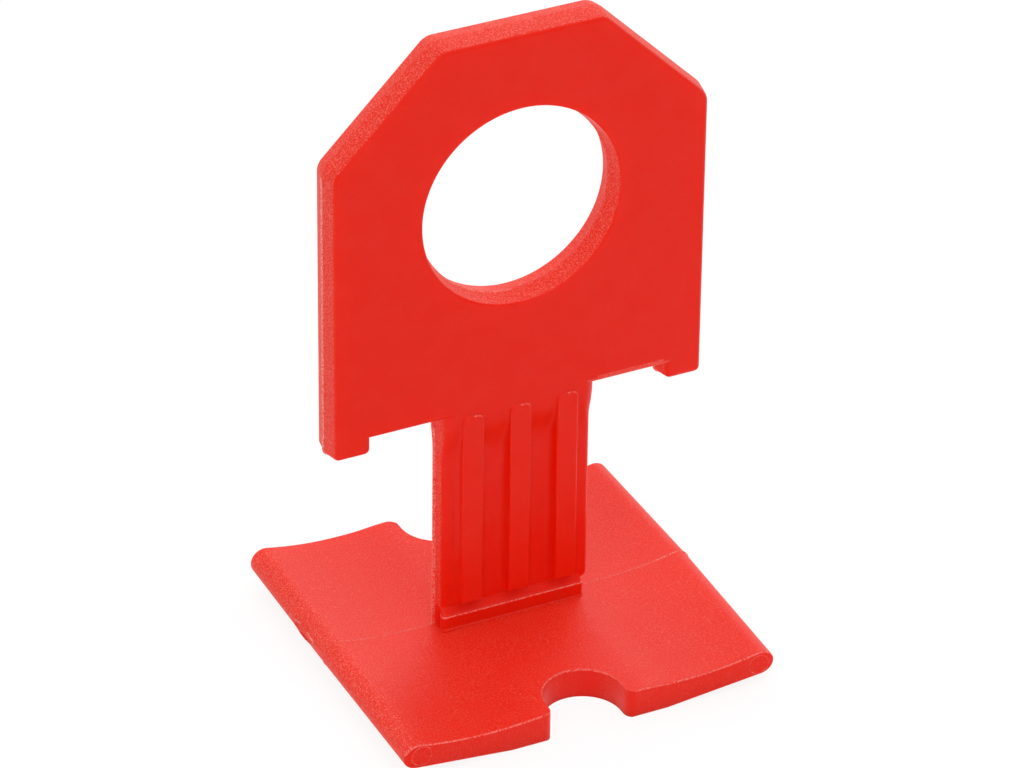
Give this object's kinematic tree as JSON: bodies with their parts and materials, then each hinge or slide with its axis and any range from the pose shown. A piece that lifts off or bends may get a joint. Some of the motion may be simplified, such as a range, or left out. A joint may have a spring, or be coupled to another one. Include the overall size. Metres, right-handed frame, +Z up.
{
  "type": "tile levelling clip",
  "caption": "Moulded plastic tile levelling clip: a notched base plate, a ribbed break-off neck and a chamfered head with a round hole for a wedge.",
  "frame": {"origin": "middle of the underside, where the base stands on the floor", "axes": "+Z up through the neck to the head, X along the tile joint, -Y towards the viewer's side of the head"},
  "size_m": [0.031, 0.0282, 0.0532],
  "materials": {
    "red_polypropylene": "as moulded, faintly grained"
  },
  "bodies": {
    "root": {"levelling_clip": "red_polypropylene"}
  },
  "joints": []
}
